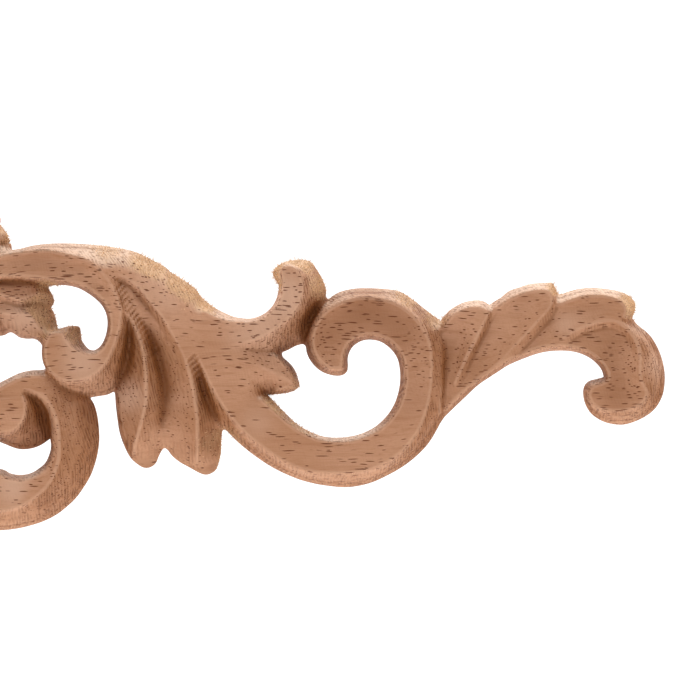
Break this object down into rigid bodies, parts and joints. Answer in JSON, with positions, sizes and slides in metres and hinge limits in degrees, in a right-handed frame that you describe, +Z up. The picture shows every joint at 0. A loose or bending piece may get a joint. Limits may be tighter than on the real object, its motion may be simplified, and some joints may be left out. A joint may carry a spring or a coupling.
{
  "type": "carved corner applique",
  "caption": "Flat-backed carved wood corner applique with scrolls, husk stems and acanthus leaves on two equal arms.",
  "frame": {"origin": "on the flat back, on the line that halves the corner, 31.6 mm in from the outer corner along both arms", "axes": "+Y out of the flat back towards what carries it, the carving faces -Y, +X along the lower arm, +Z up along the other arm"},
  "size_m": [0.1497, 0.0089, 0.1497],
  "materials": {
    "carved_wood": "bare machine-carved rubberwood"
  },
  "bodies": {
    "root": {"applique": "carved_wood"}
  },
  "joints": []
}
